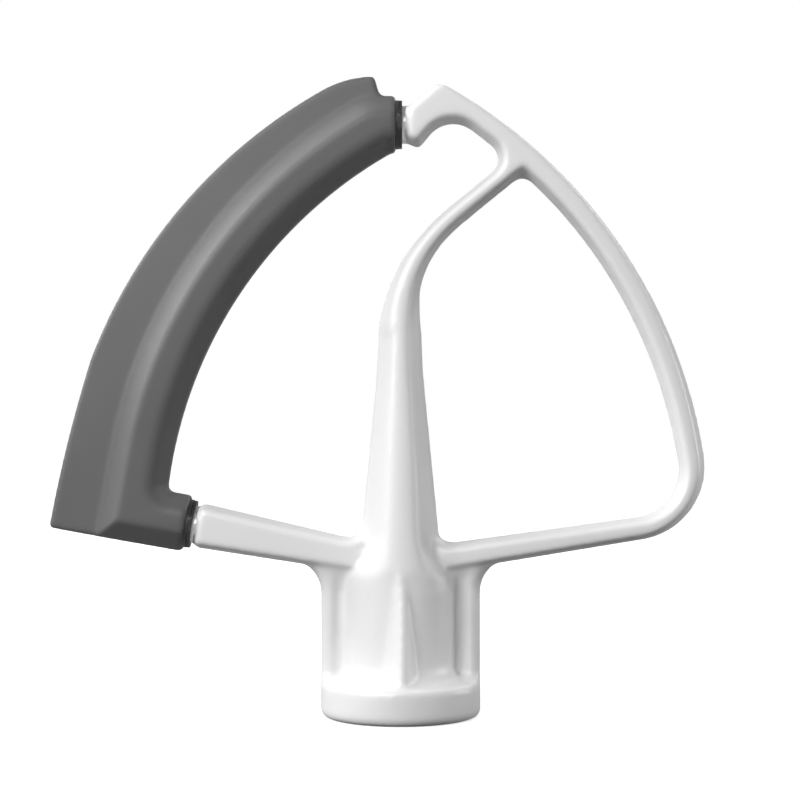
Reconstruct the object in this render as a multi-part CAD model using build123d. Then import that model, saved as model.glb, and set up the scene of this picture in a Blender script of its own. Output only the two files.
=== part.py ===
"""Flat beater of a stand mixer, with a flexible scraping edge on one side.

It stands on the open end of its drive hub: the origin is on the hub's axis, in the
plane of its rim. X runs across the beater, +X towards the plain loop and -X towards
the flexible edge, +Y runs through its thickness, and +Z runs up from the rim.
Everything flat is drawn in the mid-plane as (x, z) and stood upright at the end.
"""
import os
from math import cos, radians, sin, sqrt, tan

from build123d import *

# Drive hub, in mm
rim_diameter = 37.7
collar_height = 8.6
collar_rim_round = 2.0
collar_top_round = 1.4
core_diameter = 25.0
core_flare_share = 0.8
core_shoulder_height = 32.6
core_shoulder_round = 6.0
core_top_height = 39.2
core_top_diameter = 13.0
fin_thickness = 7.0
fin_inset = 0.1
fin_round = 3.0
fin_sink_share = 0.3
fin_arm_fillet = 8.0
rib_nose_width = 1.8
rib_side_angle = 33.0
rib_round = 0.85
rib_setback = 1.4
rib_top_height = 46.0
rib_top_nose = 10.5

# Drive socket: a round bore with a bent slot for the shaft's cross pin
bore_diameter = 13.0
bore_depth = 34.0
bore_chamfer = 0.7
pin_slot_width = 5.6
pin_slot_reach = 3.4
pin_slot_height = 24.0
pin_slot_turn = 70.0
pin_seat_drop = 2.0

# Arms: heights on the hub's axis and rise angles of their lower and upper edges
arm_under_height = 32.2
arm_over_height = 39.4
right_under_rise = 9.3
right_over_rise = 7.8
left_under_rise = 8.8
left_over_rise = 13.2

# Loop: a limb of constant width on one large arc, with a hook at its top
loop_centre = (-48.6, 42.3)
loop_radius = 121.8
limb_width = 6.5
loop_corner_round = 17.5
window_corner_round = 11.0
window_top_round = 3.5
window_top_front_round = 0.8
crotch_round = 4.4
crotch_reach = 9.4
tongue_height = 60.0
tongue_half_width = 4.0
hook_shoulder_angle = 40.4
hook_apex_round = 3.9
hook_end_top = 143.5
hook_tip = (4.4, 133.7)
hook_tip_round = 0.9
hook_chin_rise = 158.0
hook_throat_angle = 51.0
hook_throat_round = 7.0
hook_under_angle = 38.0
hook_under_point = (16.4, 138.3)

# Section of the cast limbs: how far each wall leans in between mid-plane and front
limb_depth = 10.0
loop_lean = 2.5
loop_front_lift = 2.0
arm_lean = 1.2
hook_lean = 1.0
inner_lean = 1.35
limb_round = 1.0
cut_overshoot = 1.0

# Stem and strut: one tapered spine that bends over to meet the loop. Each station
# of the stem has its height, half width, half width of nose, half depth and rounding;
# those of the bend have the share of the bend in place of the height. The axis leans
# from the hub's own at the stem's foot to the bend's at its top.
stem_offset = -0.35
stem_stations = (
    (31.0, 10.3, 4.8, 11.4, 3.4),
    (46.0, 9.0, 4.4, 10.6, 3.0),
    (60.0, 7.7, 3.3, 9.0, 2.4),
    (76.0, 6.25, 2.4, 7.4, 1.9),
)
bend_stations = (
    (0.0, 5.1, 2.0, 6.2, 1.5),
    (0.33, 3.75, 1.65, 5.5, 1.3),
    (0.66, 2.85, 1.45, 5.15, 1.2),
)
bend_radius = 34.0
strut_rise = 39.25
strut_axis_height = 107.4
strut_width = 5.15
strut_fork_round = 3.9
spine_lap = 3.0
spine_inset = 1.0
spine_step = 0.04

# Scraping edge: a band on its own arc, with straight tails that meet the frame
edge_centre = (49.7, 41.2)
band_inner_radius = 105.3
band_width = 14.5
band_depth = 13.6
band_land = 3.0
band_outer_slope = 4.7
band_inner_slope = 3.5
band_outer_round = 1.5
band_inner_round = 3.2
band_head_round = 14.0
tail_height = 13.3
tail_round = 1.2
lower_joint = (-50.2, 45.45)
lower_joint_tilt = 10.0
upper_joint = (-1.1, 139.4)
band_elbow_round = 1.5
sleeve_end_round = 0.9

# Blade of the scraping edge
blade_centre = (41.7, 40.6)
blade_radius = 122.7
blade_root_thickness = 3.4
blade_edge_thickness = 1.8
blade_foot_x = -82.9
blade_heel = (-78.4, 65.1)
blade_hip = (-73.1, 84.0)
blade_crown = (-18.5, 147.5)
blade_brow = (-12.2, 150.0)
blade_tip = (-6.2, 150.7)
blade_tip_lean = 1.3
blade_tip_hollow = 1.6
blade_corner_round = 0.9
blade_lip_round = 0.5
blade_width = 10.9

# Joints between frame, carrier and edge
silicone_wall = 1.9
collar_margin = 1.1
collar_gap = 0.3
collar_thickness = 1.15
neck_margin = 2.4
neck_bare_length = 1.3
neck_sink = 1.7
tenon_margin = 3.7
tenon_length = 7.0


def circle_top(centre, radius, x):
    """Point of the upper half of a circle at the given x."""
    return (x, centre[1] + sqrt(radius**2 - (x - centre[0]) ** 2))


def line_point(height, rise, x):
    """Point at x on a line with the given height on the hub's axis and rise angle."""
    return (x, height + x * tan(radians(rise)))


def meet_circle(height, rise, centre, radius, side):
    """Where a line meets a circle: side +1 for its right crossing, -1 for its left."""
    slope = tan(radians(rise))
    drop = height + slope * centre[0] - centre[1]
    half = sqrt(radius**2 * (1 + slope**2) - drop**2)
    return line_point(height, rise, centre[0] + (side * half - slope * drop) / (1 + slope**2))


def meet_line(height_a, rise_a, height_b, rise_b):
    """Where two lines cross."""
    x = (height_b - height_a) / (tan(radians(rise_a)) - tan(radians(rise_b)))
    return line_point(height_a, rise_a, x)


def height_on_axis(point, rise):
    """Height on the hub's axis of the line through a point."""
    return point[1] - point[0] * tan(radians(rise))


def round_corner(face, corner, radius):
    """Round the corner of a flat face that lies nearest to a point."""
    target = Vector(corner[0], corner[1], 0)
    nearest = min(face.vertices(), key=lambda v: (Vector(*v) - target).length)
    return fillet([nearest], radius)


def chain(points):
    """Straight edges from each point to the next."""
    return [Line(a, b) for a, b in zip(points, points[1:])]


def drafted(middle, front, depth):
    """Solid of full depth about the mid-plane, its walls leaning from one face to another."""
    half = loft([middle.face(), (Pos(0, 0, depth / 2) * front).face()], ruled=True)
    return half + mirror(half, about=Plane.XY)


def upright(solid):
    """Turn what was drawn flat so that its drawn y runs up and its front faces -Y."""
    return Rot(90, 0, 0) * solid


def front_edges(solid, sign):
    """Edges round the front (+1) or back (-1) face of a flat-drawn solid."""
    faces = solid.faces().filter_by(Axis.Z).sort_by(Axis.Z)
    return faces[-1 if sign > 0 else 0].edges()


joints = ((lower_joint, lower_joint_tilt), (upper_joint, 0))
collar_face = collar_gap + collar_thickness
strut_over_height = strut_axis_height + strut_width / 2 / cos(radians(strut_rise))
strut_under_height = strut_axis_height - strut_width / 2 / cos(radians(strut_rise))
loop_inner_radius = loop_radius - limb_width


def frame_outline(lean):
    """Outside of the cast frame, its open side closed: lean 0 mid-plane, 1 front face."""
    centre = (loop_centre[0], loop_centre[1] + lean * loop_front_lift)
    radius = loop_radius - lean * loop_lean
    lower = arm_under_height + lean * arm_lean
    tilt = radians(lower_joint_tilt)
    arm_run = collar_face + neck_bare_length
    end = Vector(*lower_joint) + Vector(cos(tilt), -sin(tilt)) * arm_run
    above_arm = end + Vector(sin(tilt), cos(tilt)) * tail_height
    end_rise = 90 - lower_joint_tilt
    end_height = height_on_axis((end.X, end.Y), end_rise)
    hook_end = upper_joint[0] + arm_run
    end_top = hook_end_top - lean * hook_lean
    shoulder_height = height_on_axis((hook_end, end_top), hook_shoulder_angle)
    apex = meet_circle(shoulder_height, hook_shoulder_angle, centre, radius, 1)
    corner = meet_circle(lower, right_under_rise, centre, radius, 1)
    limb_mid = circle_top(centre, radius, (apex[0] + corner[0]) / 2)
    left_foot = meet_line(lower, -left_under_rise, end_height, end_rise)
    below_hook = (hook_end, hook_tip[1] - tail_height / 2)
    edges = [ThreePointArc(corner, limb_mid, apex)]
    edges += chain([apex, (hook_end, end_top), below_hook, (above_arm.X, above_arm.Y)])
    edges += chain([(above_arm.X, above_arm.Y), left_foot, (0, lower), corner])
    face = make_face(edges)
    face = round_corner(face, corner, loop_corner_round - lean * arm_lean)
    return round_corner(face, apex, hook_apex_round - lean * hook_lean)


def frame_opening(lean):
    """The window, the open side and the bed of the stem: lean 0 mid-plane, 1 front face."""
    outside = lower_joint[0] - tail_height
    left_crotch = line_point(arm_over_height, -left_over_rise, -crotch_reach)
    right_crotch = line_point(arm_over_height, right_over_rise, crotch_reach + stem_offset)
    tongue = [(-tongue_half_width, tongue_height), (tongue_half_width, tongue_height)]
    corner = meet_circle(arm_over_height, right_over_rise, loop_centre, loop_inner_radius, 1)
    top = meet_circle(strut_under_height, strut_rise, loop_centre, loop_inner_radius, 1)
    limb_mid = circle_top(loop_centre, loop_inner_radius, (corner[0] + top[0]) / 2)
    run = radians(strut_rise)
    stub = spine_bend_end() + Vector(cos(run), sin(run)) * spine_inset
    across = Vector(-sin(run), cos(run)) * (strut_width / 2)
    stub_under, stub_over = stub - across, stub + across
    under_height = height_on_axis(hook_under_point, -hook_under_angle)
    fork = meet_line(strut_over_height, strut_rise, under_height, -hook_under_angle)
    throat_height = height_on_axis(hook_tip, hook_throat_angle)
    throat = meet_line(throat_height, hook_throat_angle, under_height, -hook_under_angle)
    chin_x = upper_joint[0]
    chin = line_point(height_on_axis(hook_tip, hook_chin_rise), hook_chin_rise, chin_x)
    points = [line_point(arm_over_height, -left_over_rise, outside), left_crotch]
    edges = chain(points + tongue + [right_crotch, corner])
    edges.append(ThreePointArc(corner, limb_mid, top))
    edges += chain([top, (stub_under.X, stub_under.Y), (stub_over.X, stub_over.Y), fork])
    edges += chain([fork, throat, hook_tip, chin, (outside, chin[1]), points[0]])
    face = make_face(edges)
    for corner_point, radius in (
        (left_crotch, crotch_round), (right_crotch, crotch_round),
        (corner, window_corner_round), (fork, strut_fork_round), (throat, hook_throat_round),
    ):
        face = round_corner(face, corner_point, radius)
    if lean:
        face = offset(face, lean * inner_lean, kind=Kind.INTERSECTION)
    face = round_corner(face, hook_tip, hook_tip_round)
    return round_corner(face, top, window_top_front_round if lean else window_top_round)


def spine_bend_end():
    """Point on the strut's axis where the bend ends."""
    return spine_point(90 - strut_rise)[0]


def spine_point(turn):
    """Point and direction of the axis once it has turned so many degrees from upright."""
    tangent = bend_radius * tan(radians((90 - strut_rise) / 2))
    knee = line_point(strut_axis_height, strut_rise, stem_offset)
    centre = Vector(stem_offset + bend_radius, knee[1] - tangent)
    out = Vector(-cos(radians(turn)), sin(radians(turn)))
    return centre + out * bend_radius, Vector(sin(radians(turn)), cos(radians(turn)))


def spine_section(point, direction, half_width, nose, half_depth, rounding):
    """Six-sided section across the spine: a blunt nose to the front and to the back."""
    across = Vector(direction.Y, -direction.X)
    plane = Plane(Vector(point.X, point.Y, 0), x_dir=across, z_dir=direction)
    corners = [
        (half_width, 0), (nose, half_depth), (-nose, half_depth),
        (-half_width, 0), (-nose, -half_depth), (nose, -half_depth),
    ]
    face = make_face(Polyline(*corners, close=True))
    face = fillet([v for v in face.vertices() if abs(v.Y) > half_depth / 2], rounding)
    sides = [v for v in face.vertices() if abs(v.Y) < half_depth / 2 and abs(v.X) > half_width / 2]
    face = fillet(sides, limb_round / 2)
    return plane * face


def spine():
    """Stem: sections that shrink up the axis, follow its bend and end as the strut's."""
    up = Vector(0, 1)
    foot, top = stem_stations[0][0], stem_stations[-1][0]
    sections = []
    for height, *size in stem_stations:
        centre = Vector(stem_offset * (height - foot) / (top - foot), height)
        sections.append(spine_section(centre, up, *size))
    full_turn = 90 - strut_rise
    for share, *size in bend_stations:
        sections.append(spine_section(*spine_point(full_turn * share), *size))
    point, direction = spine_point(full_turn)
    end_size = (
        strut_width / 2 + spine_step,
        strut_width / 2 - inner_lean + spine_step,
        limb_depth / 2 + spine_step,
        limb_round,
    )
    for advance in (0, spine_lap + spine_inset):
        sections.append(spine_section(point + direction * advance, direction, *end_size))
    return loft(sections)


def cast_limbs():
    """Loop, arms, hook and strut fork: one drafted plate with rounded front and back."""
    plate = drafted(frame_outline(0), frame_outline(1), limb_depth)
    reach = 1 + 2 * cut_overshoot / limb_depth
    plate -= drafted(frame_opening(0), frame_opening(reach), limb_depth * reach)
    for side in (1, -1):
        plate = fillet(front_edges(plate, side), limb_round)
    return plate


def hub_body():
    """Collar, core column and sloping shoulder, as one turned profile."""
    rim, core, top = rim_diameter / 2, core_diameter / 2, core_top_diameter / 2
    points = [
        (0, 0), (rim, 0), (rim, collar_height), (core, collar_height),
        (core, core_shoulder_height), (top, core_top_height), (0, core_top_height),
    ]
    face = make_face(Polyline(*points, close=True))
    face = round_corner(face, points[1], collar_rim_round)
    face = round_corner(face, points[2], collar_top_round)
    core_flare = core_flare_share * (rim - core - collar_top_round)
    face = round_corner(face, points[3], core_flare)
    face = round_corner(face, points[4], core_shoulder_round)
    return revolve(Rot(90, 0, 0) * face, Axis.Z)


def rib_section(height, nose):
    """Trapezoid across a rib: its nose stands so far from the hub's axis."""
    half_nose = rib_nose_width / 2
    half_root = half_nose + nose * tan(radians(rib_side_angle))
    corners = [(-half_nose, -nose), (half_nose, -nose), (half_root, 0), (-half_root, 0)]
    return Pos(0, 0, height) * make_face(Polyline(*corners, close=True))


def hub_ribs():
    """Front and back ribs, which lean from the collar's edge back to the stem's nose."""
    foot = rib_section(collar_height - collar_top_round, rim_diameter / 2 - rib_setback)
    head = rib_section(rib_top_height, rib_top_nose)
    rib = loft([foot.face(), head.face()], ruled=True)
    rising = [e for e in rib.edges() if abs((e @ 1).Z - (e @ 0).Z) > collar_height]
    rib = fillet([e for e in rising if e.center().Y < -rib_top_nose], rib_round)
    return rib + mirror(rib, about=Plane.XZ)


def hub_fins():
    """Side fins, flush with the collar, which sweep out under both arms."""
    rim = rim_diameter / 2 - fin_inset
    reach = rim + 2 * fin_arm_fillet
    clear = fin_thickness / 10
    foot = collar_height - collar_top_round - collar_rim_round
    right = line_point(arm_under_height, right_under_rise, rim)
    left = line_point(arm_under_height, -left_under_rise, -rim)
    sink = fin_sink_share * (arm_over_height - arm_under_height)
    right_end = line_point(arm_under_height + sink, right_under_rise, reach)
    left_end = line_point(arm_under_height + sink, -left_under_rise, -reach)
    top_height = arm_over_height - sink
    top = [line_point(top_height, right_over_rise, reach), (0, top_height),
           line_point(top_height, -left_over_rise, -reach)]
    outline = [(rim, foot), right, right_end, *top, left_end, left, (-rim, foot)]
    face = make_face(Polyline(*outline, close=True))
    face = round_corner(face, right, fin_arm_fillet)
    face = round_corner(face, left, fin_arm_fillet)
    slab = extrude(face, fin_thickness / 2, both=True)
    edges = front_edges(slab, 1) + front_edges(slab, -1)
    rounded = [e for e in edges if rim - clear < abs(e.center().X) < reach - clear]
    return upright(fillet(rounded, fin_round))


def drive_socket():
    """Bore with a bent slot: up from the rim, round, and down to the pin's seat."""
    bore = Pos(0, 0, bore_depth / 2) * Cylinder(bore_diameter / 2, bore_depth)
    mouth = bore_diameter / 2 + bore_chamfer
    bore += Pos(0, 0, bore_chamfer / 2) * Cone(mouth, bore_diameter / 2, bore_chamfer)
    reach = bore_diameter / 2 + pin_slot_reach
    run = Pos(-reach / 2, 0, pin_slot_height / 2) * Box(reach, pin_slot_width, pin_slot_height)
    floor = pin_slot_height - pin_slot_width
    turn_face = make_face(Polyline((0, floor), (reach, floor), (reach, pin_slot_height),
                                   (0, pin_slot_height), close=True))
    turn = revolve(Rot(0, 0, 180) * (Rot(90, 0, 0) * turn_face), Axis.Z, pin_slot_turn)
    seat_height = pin_slot_width + pin_seat_drop
    seat = Pos(-reach / 2, 0, pin_slot_height - seat_height / 2)
    seat = Rot(0, 0, pin_slot_turn) * seat * Box(reach, pin_slot_width, seat_height)
    return bore + run + turn + seat


def joint_plane(joint, tilt, advance):
    """Plane across a joint: z points out of the edge, x runs through its thickness."""
    out = Vector(cos(radians(tilt)), -sin(radians(tilt)), 0)
    origin = Vector(joint[0], joint[1], 0) + out * advance
    return Plane(origin, x_dir=(0, 0, 1), z_dir=out)


def slopes_at(margin):
    """How far the inner and outer walls lean in at the front of a band so much smaller."""
    full_run = (band_depth - band_land) / 2
    share = (full_run - margin) / full_run
    return band_inner_slope * share, band_outer_slope * share


def tail_bar(joint, tilt, margin, start, end):
    """Bar along a joint's axis, of the band's tail section shrunk by a margin."""
    half_height = tail_height / 2 - margin
    front = half_height - max(slopes_at(margin))
    half_depth, land = band_depth / 2 - margin, band_land / 2
    quarter = [(land, half_height), (half_depth, front)]
    corners = quarter + [(x, -y) for x, y in reversed(quarter)]
    corners += [(-x, y) for x, y in reversed(corners)]
    face = make_face(Polyline(*corners, close=True))
    face = fillet(face.vertices(), tail_round)
    return extrude(joint_plane(joint, tilt, start) * face, end - start)


def band_outline(inner_margin, outer_margin):
    """Band and both tails, shrunk from the mid-plane by two margins, with spare length."""
    inner = band_inner_radius + inner_margin
    outer = band_inner_radius + band_width - outer_margin
    inner_half, outer_half = tail_height / 2 - inner_margin, tail_height / 2 - outer_margin
    tilt = radians(lower_joint_tilt)
    along, across = Vector(cos(tilt), -sin(tilt)), Vector(sin(tilt), cos(tilt))
    joint = Vector(*lower_joint)
    low_under = joint - across * outer_half + along * tail_height
    low_over = joint + across * inner_half + along * tail_height
    heel = Vector(*edge_centre) - along * outer
    foot = heel - across * ((heel - joint).dot(across) + outer_half)
    over = height_on_axis((low_over.X, low_over.Y), -lower_joint_tilt)
    elbow = meet_circle(over, -lower_joint_tilt, edge_centre, inner, -1)
    head_over = meet_circle(upper_joint[1] + outer_half, 0, edge_centre, outer, -1)
    head_under = meet_circle(upper_joint[1] - inner_half, 0, edge_centre, inner, -1)
    right = upper_joint[0] + tail_height
    outer_mid = circle_top(edge_centre, outer, (heel.X + head_over[0]) / 2)
    inner_mid = circle_top(edge_centre, inner, (elbow[0] + head_under[0]) / 2)
    edges = [ThreePointArc((heel.X, heel.Y), outer_mid, head_over)]
    edges.append(ThreePointArc(elbow, inner_mid, head_under))
    edges += chain([head_over, (right, head_over[1]), (right, head_under[1]), head_under])
    edges += chain([elbow, (low_over.X, low_over.Y), (low_under.X, low_under.Y)])
    edges += chain([(low_under.X, low_under.Y), (foot.X, foot.Y), (heel.X, heel.Y)])
    face = make_face(edges)
    face = round_corner(face, head_over, band_head_round - outer_margin)
    return round_corner(face, elbow, band_elbow_round + inner_margin)


def band(margin, overrun):
    """Band with leaning, rounded walls, shrunk by a margin, its tails run on past."""
    outline = band_outline(margin, margin)
    land, half_depth = band_land / 2, band_depth / 2 - margin
    inner_slope, outer_slope = slopes_at(margin)
    front = Pos(0, 0, half_depth) * band_outline(margin + inner_slope, margin + outer_slope)
    cap = loft([(Pos(0, 0, land) * outline).face(), front.face()], ruled=True)
    solid = extrude(outline, land, both=True) + cap + mirror(cap, about=Plane.XY)
    middle = Vector(*edge_centre)
    inside = band_inner_radius + margin + inner_slope + 1e-3
    for side in (1, -1):
        for near, radius in ((True, band_inner_round), (False, band_outer_round)):
            chosen = []
            for edge in front_edges(solid, side):
                ends = [Vector((edge @ share).X, (edge @ share).Y) for share in (0, 0.5, 1)]
                if all((end - middle).length < inside for end in ends) == near:
                    chosen.append(edge)
            solid = fillet(chosen, radius)
    for joint, tilt in joints:
        size = 2 * tail_height
        waste = Pos(0, 0, size / 2) * Box(size, size, size)
        solid -= joint_plane(joint, tilt, overrun) * waste
    return solid


def end_edges(solid, plane):
    """Edges that lie wholly in a plane."""
    found = []
    for edge in solid.edges():
        offsets = [((edge @ share) - plane.origin).dot(plane.z_dir) for share in (0, 0.5, 1)]
        if max(abs(value) for value in offsets) < 1e-3:
            found.append(edge)
    return found


def sleeve_body():
    """Outside of the edge's thick part, with both of its ends rounded off."""
    solid = band(0, 0)
    for joint, tilt in joints:
        solid = fillet(end_edges(solid, joint_plane(joint, tilt, 0)), sleeve_end_round)
    return solid


def blade():
    """Thin lip outside the band: a wedge turned about the band's centre, cut to outline."""
    hidden = band_inner_radius + band_width / 2
    root = band_inner_radius + band_width
    tilt = radians(lower_joint_tilt)
    sill = Vector(*lower_joint) - Vector(sin(tilt), cos(tilt)) * (tail_height / 2)
    under = height_on_axis((sill.X, sill.Y), -lower_joint_tilt)
    edge_middle = Vector(edge_centre[0], edge_centre[1], 0)
    foot = line_point(under, -lower_joint_tilt, blade_foot_x)
    heel_in = meet_circle(under, -lower_joint_tilt, edge_centre, hidden, -1)
    sleeve_top = upper_joint[1] + tail_height / 2
    notch = (blade_tip[0] + blade_tip_lean, sleeve_top)
    toe = (notch[0] + blade_tip_hollow * 1.2, sleeve_top)
    crest = circle_top(edge_centre, hidden, toe[0])
    hip_mid = circle_top(blade_centre, blade_radius, (blade_hip[0] + blade_crown[0]) / 2)
    hidden_mid = circle_top(edge_centre, hidden, (heel_in[0] + crest[0]) / 2)
    edges = [
        ThreePointArc(foot, blade_heel, blade_hip),
        ThreePointArc(blade_hip, hip_mid, blade_crown),
        ThreePointArc(blade_crown, blade_brow, blade_tip),
        ThreePointArc(crest, hidden_mid, heel_in),
    ]
    edges += chain([blade_tip, notch, toe, crest]) + chain([heel_in, foot])
    face = make_face(edges)
    face = round_corner(face, notch, blade_tip_hollow)
    face = round_corner(face, foot, blade_corner_round)
    face = round_corner(face, blade_tip, blade_corner_round)
    taper = (blade_root_thickness - blade_edge_thickness) / 2 / blade_width
    inside, outside = hidden - blade_root_thickness, root + 2 * blade_width
    half_in = blade_root_thickness / 2 + taper * (root - inside)
    half_out = blade_root_thickness / 2 - taper * (outside - root)
    profile = Polyline((inside, -half_in), (outside, -half_out), (outside, half_out),
                       (inside, half_in), close=True)
    ring = revolve(Rot(90, 0, 0) * make_face(profile), Axis.Z)
    ring = Pos(edge_centre[0], edge_centre[1], 0) * ring
    lip = ring & extrude(face, blade_root_thickness, both=True)
    rounded = []
    for edge in lip.edges():
        middle = edge @ 0.5
        if abs(middle.Z) > blade_lip_round and (middle - edge_middle).length > root:
            rounded.append(edge)
    return fillet(rounded, blade_lip_round)


neck_end = collar_face + neck_bare_length + neck_sink

tenons = [tail_bar(j, t, tenon_margin, -tenon_length, collar_face) for j, t in joints]
necks = [tail_bar(j, t, neck_margin, collar_face, neck_end) for j, t in joints]
collars = [tail_bar(j, t, collar_margin, collar_gap, collar_face) for j, t in joints]

casting = upright(cast_limbs() + spine()) + hub_body() + hub_ribs() + hub_fins()
casting -= drive_socket()
beater_frame = casting + [upright(bar) for bar in necks + tenons]

core = band(silicone_wall, collar_gap)
edge_carrier = core + collars - tenons
flex_edge = sleeve_body() + blade() - core

os.makedirs("parts", exist_ok=True)
export_step(beater_frame, "parts/beater_frame.step")
export_step(upright(edge_carrier), "parts/edge_carrier.step")
export_step(upright(flex_edge), "parts/flex_edge.step")
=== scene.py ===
"""Looks of a stand mixer's flat beater with a flexible scraping edge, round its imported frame."""
from math import radians

import bmesh
import bpy
import numpy as np
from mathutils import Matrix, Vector


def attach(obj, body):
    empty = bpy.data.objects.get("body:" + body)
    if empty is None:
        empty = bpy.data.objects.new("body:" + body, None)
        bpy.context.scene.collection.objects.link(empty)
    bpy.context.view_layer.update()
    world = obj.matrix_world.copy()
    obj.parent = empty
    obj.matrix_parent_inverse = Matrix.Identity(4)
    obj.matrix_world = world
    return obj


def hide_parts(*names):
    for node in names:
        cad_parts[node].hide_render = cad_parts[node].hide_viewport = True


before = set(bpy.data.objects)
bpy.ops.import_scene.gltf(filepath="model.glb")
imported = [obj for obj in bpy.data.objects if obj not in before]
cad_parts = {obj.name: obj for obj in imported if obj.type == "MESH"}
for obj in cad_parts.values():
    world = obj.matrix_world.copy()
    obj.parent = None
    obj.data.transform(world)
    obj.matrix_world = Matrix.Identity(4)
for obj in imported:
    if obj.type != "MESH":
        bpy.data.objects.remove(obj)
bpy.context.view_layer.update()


# The casting: one aluminium casting, the hub, stem, arms and loop of the beater.
# It is dipped in a thick white nylon coat that softens every edge and lies a
# little wavy, and the coat stops short of the two ends that the edge slides over.
MM = 0.001
SAME_POINT = 1e-6


def node_tree(material):
    """Empties a new material and gives back its tree and its shader."""
    material.use_nodes = True
    tree = material.node_tree
    tree.nodes.clear()
    shader = tree.nodes.new("ShaderNodeBsdfPrincipled")
    output = tree.nodes.new("ShaderNodeOutputMaterial")
    tree.links.new(shader.outputs["BSDF"], output.inputs["Surface"])
    return tree, shader


def surface_grain_group():
    """Node group: fine grain and broad patches, both 0 to 1, from Object coordinates."""
    group = bpy.data.node_groups.new("surface_grain", "ShaderNodeTree")
    face = group.interface
    for name, value in (("Grain Size", 1.0), ("Patch Size", 20.0)):
        socket = face.new_socket(name, in_out="INPUT", socket_type="NodeSocketFloat")
        socket.default_value = value
    for name in ("Grain", "Patches"):
        face.new_socket(name, in_out="OUTPUT", socket_type="NodeSocketFloat")
    nodes, links = group.nodes, group.links
    inlet = nodes.new("NodeGroupInput")
    outlet = nodes.new("NodeGroupOutput")
    place = nodes.new("ShaderNodeTexCoord")
    for name, result, detail in (("Grain Size", "Grain", 3.0), ("Patch Size", "Patches", 2.0)):
        scale = nodes.new("ShaderNodeMath")
        scale.operation = "DIVIDE"
        scale.inputs[0].default_value = 1 / MM
        links.new(inlet.outputs[name], scale.inputs[1])
        noise = nodes.new("ShaderNodeTexNoise")
        noise.inputs["Detail"].default_value = detail
        links.new(place.outputs["Object"], noise.inputs["Vector"])
        links.new(scale.outputs[0], noise.inputs["Scale"])
        links.new(noise.outputs["Fac"], outlet.inputs[result])
    return group


surface_grain = surface_grain_group()


def grained(tree, grain_size, patch_size):
    """Places the grain group in a material with its own sizes, in mm."""
    node = tree.nodes.new("ShaderNodeGroup")
    node.node_tree = surface_grain
    node.inputs["Grain Size"].default_value = grain_size
    node.inputs["Patch Size"].default_value = patch_size
    return node


def blended(tree, factor, low, high):
    """Mixes two colours by a value output."""
    mix = tree.nodes.new("ShaderNodeMix")
    mix.data_type = "RGBA"
    mix.inputs["A"].default_value = (*low, 1)
    mix.inputs["B"].default_value = (*high, 1)
    tree.links.new(factor, mix.inputs["Factor"])
    return mix.outputs["Result"]


def ranged(tree, factor, low, high, start=0.0, end=1.0):
    """Maps a value output evenly to a range: low at the start value, high at the end value."""
    span = tree.nodes.new("ShaderNodeMapRange")
    span.inputs["From Min"].default_value = start
    span.inputs["From Max"].default_value = end
    span.inputs["To Min"].default_value = low
    span.inputs["To Max"].default_value = high
    tree.links.new(factor, span.inputs["Value"])
    return span.outputs["Result"]


def patchy_finish(name, grain_size, patch_size, colours, roughness):
    """A new material whose colour drifts between two over broad patches, and whose roughness
    drifts between two values over a fine grain, with its tree, its shader and its grain."""
    material = bpy.data.materials.new(name)
    tree, shader = node_tree(material)
    grain = grained(tree, grain_size, patch_size)
    tree.links.new(blended(tree, grain.outputs["Patches"], *colours), shader.inputs["Base Color"])
    tree.links.new(ranged(tree, grain.outputs["Grain"], *roughness), shader.inputs["Roughness"])
    return material, tree, shader, grain


def bumped(tree, shader, height, depth):
    """Bumps a shader's normal by a height output of so many mm."""
    bump = tree.nodes.new("ShaderNodeBump")
    bump.inputs["Distance"].default_value = depth * MM
    bump.inputs["Strength"].default_value = 1.0
    tree.links.new(height, bump.inputs["Height"])
    tree.links.new(bump.outputs["Normal"], shader.inputs["Normal"])


def white_coat():
    """White nylon dip coat: nearly clean white, satin gloss, with a faint ripple."""
    material, tree, shader, _ = patchy_finish(
        "white_coat", grain_size=1.6, patch_size=26.0,
        colours=((0.83, 0.83, 0.825), (0.87, 0.87, 0.87)), roughness=(0.36, 0.46))
    shader.inputs["Coat Weight"].default_value = 0.2
    shader.inputs["Coat Roughness"].default_value = 0.2
    fine_share = 0.15
    ripple = grained(tree, grain_size=2.2, patch_size=9.0)
    swell = tree.nodes.new("ShaderNodeMath")
    swell.operation = "MULTIPLY_ADD"
    swell.inputs[1].default_value = fine_share
    tree.links.new(ripple.outputs["Grain"], swell.inputs[0])
    tree.links.new(ripple.outputs["Patches"], swell.inputs[2])
    bumped(tree, shader, swell.outputs[0], depth=0.08)
    return material


def mesh_arrays(mesh):
    """Corner points in mm, and the corners of each face, of a mesh of like faces."""
    points = np.empty(len(mesh.vertices) * 3)
    mesh.vertices.foreach_get("co", points)
    corners = np.empty(len(mesh.loops), dtype=int)
    mesh.loops.foreach_get("vertex_index", corners)
    return points.reshape(-1, 3) / MM, corners.reshape(len(mesh.polygons), -1)


def merged_mesh(node):
    """A copy of a CAD node's mesh, its doubled corners merged."""
    build = bmesh.new()
    build.from_mesh(node.data)
    bmesh.ops.remove_doubles(build, verts=build.verts, dist=SAME_POINT)
    mesh = bpy.data.meshes.new("merged_" + node.name)
    build.to_mesh(mesh)
    build.free()
    return mesh


def placed(name, data):
    """A new object of a mesh, lamp or camera, in the scene and at the origin."""
    thing = bpy.data.objects.new(name, data)
    bpy.context.scene.collection.objects.link(thing)
    return thing


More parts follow.
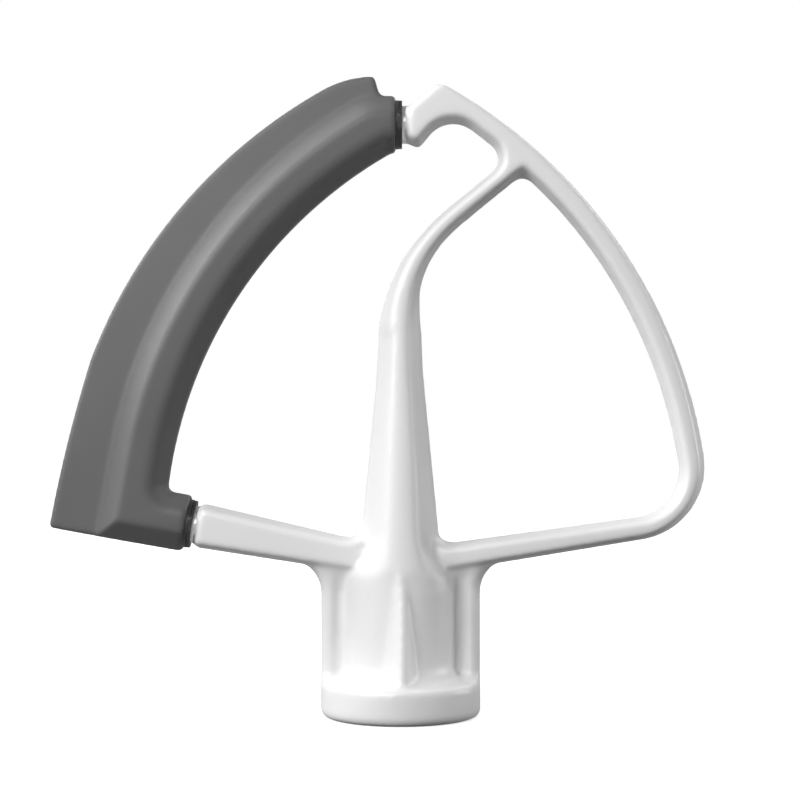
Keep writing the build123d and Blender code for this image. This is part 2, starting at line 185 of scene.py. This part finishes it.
def add_even_skin(thing, voxel, passes):
    """Gives an object one closed skin of even squares, of a size in mm, evened out by so many
    passes, in each of which a corner goes half the way to the middle of its neighbours."""
    skin = thing.modifiers.new("even_skin", "REMESH")
    skin.mode = "VOXEL"
    skin.voxel_size = voxel * MM
    skin.use_smooth_shade = True
    flow = thing.modifiers.new("flow", "SMOOTH")
    flow.factor = 0.5
    flow.iterations = passes


def even_skin(name, mesh, voxel, passes=0):
    """The even skin round everything in a mesh, as a new mesh."""
    holder = placed(name + "_holder", mesh)
    add_even_skin(holder, voxel, passes)
    bpy.context.view_layer.update()
    ready = holder.evaluated_get(bpy.context.evaluated_depsgraph_get())
    result = bpy.data.meshes.new_from_object(ready)
    result.name = name
    bpy.data.objects.remove(holder)
    return result


def eased(low, high, value):
    """0 below low, 1 above high, and between them three times the square of the share of the
    way, less twice its cube."""
    share = np.clip((value - low) / (high - low), 0, 1)
    return share * share * (3 - 2 * share)


def bare_skin(points):
    """Moves the points of the casting's own skin, in mm, by where they lie. The stem goes
    inwards by a share of its distance from its axis, to lie under the soft skin. The front and
    back ribs go sideways to the hub's middle. Each side fin is thinned to a web under its arm,
    along a parabola in height, and keeps a thicker bead along its outside."""
    x, y, z = points.T.copy()
    out = np.abs(x)

    draw, stem_x, stem_reach = 0.17, -0.3, 11.5
    stem_foot, nose_foot, bend, nose_side = (45.5, 50.0), (36.5, 41.0), (86.0, 92.0), (8.0, 11.5)
    stem = eased(*stem_foot, z) * (1 - eased(*bend, z)) * (out < stem_reach)
    points[:, 0] -= draw * stem * (x - stem_x)
    nose = eased(*nose_foot, z) * (1 - eased(*bend, z)) * (1 - eased(*nose_side, out))
    points[:, 1] -= draw * nose * y

    rib_shift = 0.45
    rib_face, rib_foot, rib_top = (12.4, 13.4), (8.9, 10.0), (34.0, 40.0)
    rib = eased(*rib_face, np.abs(y)) * eased(*rib_foot, z) * (1 - eased(*rib_top, z))
    points[:, 0] += rib_shift * rib

    arm_root, arm_under, arm_slope = 9.5, 34.0, 0.13
    fin_side, fin_end, fin_foot, fin_top = (12.0, 13.2), (24.0, 28.0), (8.8, 10.4), (-0.4, 0.8)
    web_hollow, bead_share, bead_side, web_rise = 0.60, 0.34, (14.8, 16.4), 7
    below = z - (arm_under + arm_slope * (out - arm_root))
    fin = eased(*fin_side, out) * (1 - eased(*fin_end, out))
    fin *= eased(*fin_foot, z) * (1 - eased(*fin_top, below))
    hollow = web_hollow - bead_share * eased(*bead_side, out)
    points[:, 1] += fin * y * hollow * (np.clip(below / web_rise + 1, 0, 1) ** 2 - 1)


def spine_path(run):
    """Points and turns on the stem's axis: straight up, then round a bend, then straight."""
    stem_x, bend_height, bend_radius, full_turn = -0.12, 91.0, 34.0, np.radians(50.75)
    turn = np.clip((run - bend_height) / bend_radius, 0, full_turn)
    beyond = np.clip(run - bend_height - bend_radius * full_turn, 0, None)
    x = stem_x + bend_radius * (1 - np.cos(turn)) + beyond * np.sin(full_turn)
    z = np.minimum(run, bend_height) + bend_radius * np.sin(turn) + beyond * np.cos(full_turn)
    return x, z, turn


def ring_faces(rings, rays):
    """Faces of a closed skin through rings of like points, the two end rings capped. They
    point outwards where the points go round the rings' way by the right hand."""
    index = np.arange(rings * rays).reshape(rings, rays)
    ahead = np.roll(index, -1, axis=1)
    sides = np.stack([index[:-1], ahead[:-1], ahead[1:], index[1:]], axis=-1).reshape(-1, 4)
    return sides.tolist() + [index[0][::-1].tolist(), index[-1].tolist()]


def stem_skin(core_radius, rays):
    """Tapered stem and its bend: at each run along the axis six flats, blended into one soft
    outline by the inverse p-norm of their distances. Round its foot lies the core's shoulder,
    a circle that narrows evenly with height in front and behind, and ever faster to the sides;
    the greater of the two radii holds, with a soft valley between them."""
    softness, step = 16.0, 0.8
    #        run    half width  nose  half depth
    table = np.array([
        (29.0, 10.4, 4.4, 11.9),
        (46.7, 8.85, 3.5, 10.50),
        (60.8, 7.45, 2.9, 9.10),
        (75.0, 6.05, 2.2, 7.60),
        (81.0, 5.5, 1.9, 7.05),
        (86.0, 5.3, 1.7, 6.65),
        (92.0, 5.0, 1.5, 6.20),
        (97.0, 4.3, 1.3, 5.40),
        (102.0, 3.2, 1.0, 4.20),
        (107.0, 1.8, 0.7, 2.60),
    ])
    run = np.arange(table[0, 0], table[-1, 0] + step / 2, step)
    width, nose, depth = (np.interp(run, table[:, 0], table[:, k]) for k in range(1, 4))
    ridge_gain = 2 ** (1 / softness)
    width = width * ridge_gain
    angle = np.linspace(0, 2 * np.pi, rays, endpoint=False)
    lean = np.arctan2(width - nose, depth)
    side = width * np.cos(lean)
    total = np.zeros((len(run), rays))
    for facing, distance in (
        (np.full_like(run, np.pi / 2), depth), (np.full_like(run, -np.pi / 2), depth),
        (lean, side), (-lean, side), (np.pi - lean, side), (np.pi + lean, side),
    ):
        facet = np.cos(angle[None] - facing[:, None]) / distance[:, None]
        total += np.clip(facet, 0, None) ** softness
    flats = total ** (-1 / softness)

    shoulder_height, shoulder_slope, valley, least_radius = 33.0, 0.17, 0.8, 1
    side_fall, side_focus = 0.19, 3
    above = np.clip(run[:, None] - shoulder_height, 0, None)
    fall = side_fall * np.abs(np.cos(angle))[None] ** side_focus
    shoulder = core_radius - shoulder_slope * above - fall * above ** 2
    shoulder = np.clip(shoulder, least_radius, None)
    radius = valley * np.logaddexp(flats / valley, shoulder / valley)
    radius = np.minimum(radius, np.maximum(flats, core_radius))
    x, z, turn = spine_path(run)
    across = radius * np.cos(angle)
    points = np.stack([
        x[:, None] + across * np.cos(turn)[:, None],
        radius * np.sin(angle),
        z[:, None] - across * np.sin(turn)[:, None],
    ], axis=-1)
    return points.reshape(-1, 3), ring_faces(len(run), rays)


def foot_skin(core_radius, rays):
    """The hollow round at the core's foot: a quarter circle turned about the beater's axis, its
    foot carried down into the rim and its head into the core."""
    deck_height, hollow, sunk, tucked = 8.5, 4.2, 1.5, 0.4
    last_turn, steps = 88, 14
    turn = np.radians(np.linspace(0, last_turn, steps))
    radius = np.append(core_radius + hollow * (1 - np.sin(turn)), core_radius - tucked)
    height = np.append(deck_height + hollow * (1 - np.cos(turn)), deck_height + hollow + tucked)
    radius = np.insert(radius, 0, radius[0])
    height = np.insert(height, 0, deck_height - sunk)
    angle = np.linspace(0, 2 * np.pi, rays, endpoint=False)
    points = np.stack([
        radius[:, None] * np.cos(angle), radius[:, None] * np.sin(angle),
        np.broadcast_to(height[:, None], (len(height), rays)),
    ], axis=-1)
    return points.reshape(-1, 3), ring_faces(len(height), rays)


def coated_casting(node, voxel, passes):
    """One skin round the casting's own skin, the stem's soft skin and the hollow round at the
    core's foot, evened out, and level at the floor."""
    core_radius, rays = 12.45, 120
    points, faces = mesh_arrays(even_skin("bare_casting", merged_mesh(node), voxel))
    bare_skin(points)
    faces = faces.tolist()
    for added, added_faces in (stem_skin(core_radius, rays), foot_skin(core_radius, rays)):
        faces += [[corner + len(points) for corner in face] for face in added_faces]
        points = np.vstack([points, added])
    mesh = bpy.data.meshes.new("casting_parts")
    mesh.from_pydata((points * MM).tolist(), [], faces)
    skin = even_skin("coated_casting", mesh, voxel, passes)
    points, _ = mesh_arrays(skin)
    points[:, 2] = np.clip(points[:, 2], 0, None)
    skin.vertices.foreach_set("co", (points * MM).ravel())
    skin.update()
    return skin


casting_mesh = coated_casting(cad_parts["beater_frame"], voxel=0.55, passes=9)
casting_mesh.materials.append(white_coat())
casting = placed("coated_casting", casting_mesh)
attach(casting, "root")
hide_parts("beater_frame")


# The bare necks: where the coat is trimmed back beside each dark collar, a strip of
# the casting's own turned aluminium shows, with a fine bead at its middle. Each is
# part of the casting, an eight-sided bar with rounded corners.
crease = radians(40)


def neck_metal():
    """Turned aluminium: bright, with a fine satin grain."""
    material, tree, shader, grain = patchy_finish(
        "neck_metal", grain_size=0.4, patch_size=6.0,
        colours=((0.62, 0.62, 0.62), (0.72, 0.72, 0.715)), roughness=(0.28, 0.42))
    shader.inputs["Metallic"].default_value = 1.0
    bumped(tree, shader, grain.outputs["Grain"], depth=0.01)
    return material


def neck_section():
    """Closed outline through the thickness and up: an octagon, its corners cut four times, each
    time at a quarter of either side."""
    land, half_depth, half_height, front_height = 1.5, 4.62, 4.48, 1.75
    cuts, quarter = 4, 0.25
    corners = np.array([(land, half_height), (half_depth, front_height)])
    right = np.vstack([corners, (corners * (1, -1))[::-1]])
    outline = np.vstack([right, (right * (-1, 1))[::-1]])
    for _ in range(cuts):
        ahead = np.roll(outline, -1, axis=0)
        near = outline * (1 - quarter) + ahead * quarter
        far = outline * quarter + ahead * (1 - quarter)
        outline = np.stack([near, far], axis=1).reshape(-1, 2)
    return outline


def joint_ring(name, joint, tilt, profile, material):
    """Bar along a joint's axis, which leaves a point (x, z) and tilts down to the right: the
    neck's section at each station of the profile, drawn in there by so much, both in mm."""
    stations, drawn_in = np.array(profile).T
    outline = neck_section()
    reach = np.linalg.norm(outline, axis=1, keepdims=True)
    along = np.array([np.cos(tilt), 0, -np.sin(tilt)])
    through = np.array([0.0, -1.0, 0.0])
    upward = np.array([np.sin(tilt), 0, np.cos(tilt)])
    rings = outline[None] * (1 - drawn_in[:, None, None] / reach[None])
    points = (np.array([joint[0], 0, joint[1]]) + stations[:, None, None] * along
              + rings[..., :1] * through + rings[..., 1:] * upward)
    mesh = bpy.data.meshes.new(name)
    faces = ring_faces(len(stations), len(outline))
    mesh.from_pydata((points.reshape(-1, 3) * MM).tolist(), [], faces)
    mesh.shade_smooth()
    mesh.materials.append(material)
    ring = placed(name, mesh)
    split = ring.modifiers.new("crisp_grooves", "EDGE_SPLIT")
    split.split_angle = crease
    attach(ring, "root")


lower_joint, lower_tilt = (-50.2, 45.45), radians(10.0)
upper_joint, upper_tilt = (-1.1, 139.4), 0.0
groove = 0.16
neck_profile = (
    (1.2, 0.0), (1.70, 0.0), (1.74, groove), (1.92, groove), (1.96, 0.0),
    (2.34, 0.0), (2.38, groove), (2.56, groove), (2.60, 0.0), (4.2, 0.0),
)
metal = neck_metal()
joint_ring("lower_neck", lower_joint, lower_tilt, neck_profile, metal)
joint_ring("upper_neck", upper_joint, upper_tilt, neck_profile, metal)


# The flexible edge: grey silicone moulded round the hidden carrier, a thick band
# with a thin blade along its outside that wipes the bowl. Its skin is smooth and
# satin, a little paler where the mould was polished.
def grey_silicone():
    """Mid-grey silicone: satin, with a very fine even grain."""
    material, tree, shader, grain = patchy_finish(
        "grey_silicone", grain_size=0.35, patch_size=18.0,
        colours=((0.110, 0.110, 0.111), (0.132, 0.132, 0.133)), roughness=(0.42, 0.52))
    shader.inputs["Specular IOR Level"].default_value = 0.35
    bumped(tree, shader, grain.outputs["Grain"], depth=0.008)
    return material


def add_merge(node):
    """Merges the doubled corners of a CAD node ahead of its other modifiers."""
    merge = node.modifiers.new("merge", "WELD")
    merge.merge_threshold = SAME_POINT


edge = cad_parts["flex_edge"]
add_merge(edge)
add_even_skin(edge, voxel=0.5, passes=6)
edge.data.materials.clear()
edge.data.materials.append(grey_silicone())


# The carrier: a stiff dark nylon moulding inside the edge, seen only as a thin
# collar at each end, where the edge butts against the casting's necks.
def dark_nylon():
    """Near-black nylon with a fine moulded grain."""
    material, tree, shader, grain = patchy_finish(
        "dark_nylon", grain_size=0.3, patch_size=9.0,
        colours=((0.018, 0.018, 0.02), (0.028, 0.028, 0.03)), roughness=(0.38, 0.5))
    bumped(tree, shader, grain.outputs["Grain"], depth=0.01)
    return material


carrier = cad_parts["edge_carrier"]
add_merge(carrier)
rounding = carrier.modifiers.new("rounding", "BEVEL")
rounding.width = 0.22 * MM
rounding.segments = 2
rounding.angle_limit = crease
nylon = dark_nylon()
carrier.data.materials.clear()
carrier.data.materials.append(nylon)

# Behind each collar the carrier has a root, a little smaller than the collar and wider than
# the neck, which closes the slit between the collar and the silicone.
root_spread = -1.25
root_profile = ((-0.5, root_spread), (0.6, root_spread))
joint_ring("lower_collar_root", lower_joint, lower_tilt, root_profile, nylon)
joint_ring("upper_collar_root", upper_joint, upper_tilt, root_profile, nylon)


# The studio: a plain pale floor under the hub's rim, which shows white to the
# camera and keeps the beater's soft shadow, and a white surround.
def paleness(tree):
    """How much of the white background a ray sees: all for the camera's, a third in gloss."""
    gloss_share = 0.33
    path = tree.nodes.new("ShaderNodeLightPath")
    share = tree.nodes.new("ShaderNodeMath")
    share.operation = "MULTIPLY_ADD"
    share.inputs[1].default_value = gloss_share
    tree.links.new(path.outputs["Is Glossy Ray"], share.inputs[0])
    tree.links.new(path.outputs["Is Camera Ray"], share.inputs[2])
    return share.outputs[0]


def shown(tree, lit, seen):
    """Mixes a shader that lights the beater with the one that the camera sees, by paleness."""
    mix = tree.nodes.new("ShaderNodeMixShader")
    tree.links.new(paleness(tree), mix.inputs["Fac"])
    tree.links.new(lit, mix.inputs[1])
    tree.links.new(seen, mix.inputs[2])
    return mix.outputs["Shader"]


def floor_white():
    """Matt floor, dark to the beater's underside, and to the camera a white that takes the
    shadow, with a glow that grows with the distance from the beater."""
    material = bpy.data.materials.new("floor_white")
    material.use_nodes = True
    tree = material.node_tree
    tree.nodes.clear()
    matt = tree.nodes.new("ShaderNodeBsdfDiffuse")
    matt.inputs["Color"].default_value = (0.06, 0.06, 0.06, 1)
    pale = tree.nodes.new("ShaderNodeBsdfDiffuse")
    pale.inputs["Color"].default_value = (0.8, 0.8, 0.8, 1)
    glow = tree.nodes.new("ShaderNodeEmission")
    place = tree.nodes.new("ShaderNodeTexCoord")
    away = tree.nodes.new("ShaderNodeVectorMath")
    away.operation = "LENGTH"
    tree.links.new(place.outputs["Object"], away.inputs[0])
    paler = ranged(tree, away.outputs["Value"], low=0.70, high=1.0, start=0.15, end=0.60)
    tree.links.new(paler, glow.inputs["Strength"])
    both = tree.nodes.new("ShaderNodeAddShader")
    tree.links.new(pale.outputs["BSDF"], both.inputs[0])
    tree.links.new(glow.outputs["Emission"], both.inputs[1])
    output = tree.nodes.new("ShaderNodeOutputMaterial")
    surface = shown(tree, matt.outputs["BSDF"], both.outputs["Shader"])
    tree.links.new(surface, output.inputs["Surface"])
    return material


def studio_floor():
    """Flat square in the plane of the hub's rim, reaching some metres to each side."""
    reach = 6.0
    corners = [(-reach, -reach, 0), (reach, -reach, 0), (reach, reach, 0), (-reach, reach, 0)]
    mesh = bpy.data.meshes.new("floor")
    mesh.from_pydata(corners, [], [(0, 1, 2, 3)])
    mesh.materials.append(floor_white())
    return placed("floor", mesh)


studio_floor()


def surround():
    """World: white to the camera, and a soft light that falls off towards the floor."""
    world = bpy.data.worlds.new("surround")
    bpy.context.scene.world = world
    world.use_nodes = True
    tree = world.node_tree
    tree.nodes.clear()
    place = tree.nodes.new("ShaderNodeTexCoord")
    split = tree.nodes.new("ShaderNodeSeparateXYZ")
    tree.links.new(place.outputs["Generated"], split.inputs["Vector"])
    climb = ranged(tree, split.outputs["Z"], low=0.02, high=0.12, start=-0.2, end=1.0)
    soft = tree.nodes.new("ShaderNodeBackground")
    soft.inputs["Color"].default_value = (1, 1, 1, 1)
    tree.links.new(climb, soft.inputs["Strength"])
    white = tree.nodes.new("ShaderNodeBackground")
    white.inputs["Color"].default_value = (1, 1, 1, 1)
    white.inputs["Strength"].default_value = 1.0
    output = tree.nodes.new("ShaderNodeOutputWorld")
    surface = shown(tree, soft.outputs["Background"], white.outputs["Background"])
    tree.links.new(surface, output.inputs["Surface"])


surround()


def softbox(name, place, power):
    """Square area lamp at a place in metres, turned to the beater's middle."""
    side, middle = 0.40, Vector((0, 0, 0.07))
    lamp = bpy.data.lights.new(name, "AREA")
    lamp.shape = "SQUARE"
    lamp.size = side
    lamp.energy = power
    holder = placed(name, lamp)
    holder.location = place
    holder.rotation_mode = "QUATERNION"
    holder.rotation_quaternion = (middle - Vector(place)).to_track_quat("-Z", "Y")


# Seven square softboxes round the beater, their powers in watts. The first three light it
# from the left, the next from in front, and the last three from the right and behind.
for name, place, power in (
    ("key_lamp", (-0.555, -0.466, 0.42), 3.9),
    ("side_lamp", (-0.682, 0.120, 0.47), 3.8),
    ("top_lamp", (-0.452, 0.080, 0.73), 1.3),
    ("front_lamp", (-0.26, -0.66, 0.44), 2.7),
    ("right_front_lamp", (0.607, -0.509, 0.18), 0.5),
    ("right_lamp", (0.780, 0.138, 0.18), 2.4),
    ("back_lamp", (0.421, 0.502, 0.53), 0.9),
):
    softbox(name, place, power)

# The camera: level, a little below the beater's middle and close, as the
# photograph shows the hub from above and the hook from below.
camera_distance = 450 * MM
camera_height = 68 * MM
photo_side_px = 800
px_per_mm = 4.24
axis_px = 400.6
rim_px = 716.0
lens = bpy.data.cameras.new("camera")
lens.sensor_width = 36.0
lens.lens = px_per_mm / MM * camera_distance / photo_side_px * lens.sensor_width
lens.shift_x = (photo_side_px / 2 - axis_px) / photo_side_px
horizon_px = rim_px - px_per_mm * camera_height / MM
lens.shift_y = (horizon_px - photo_side_px / 2) / photo_side_px
camera = placed("camera", lens)
camera.location = (0, -camera_distance, camera_height)
camera.rotation_euler = (radians(90), 0, 0)
bpy.context.scene.camera = camera
bpy.context.scene.view_settings.view_transform = "Standard"
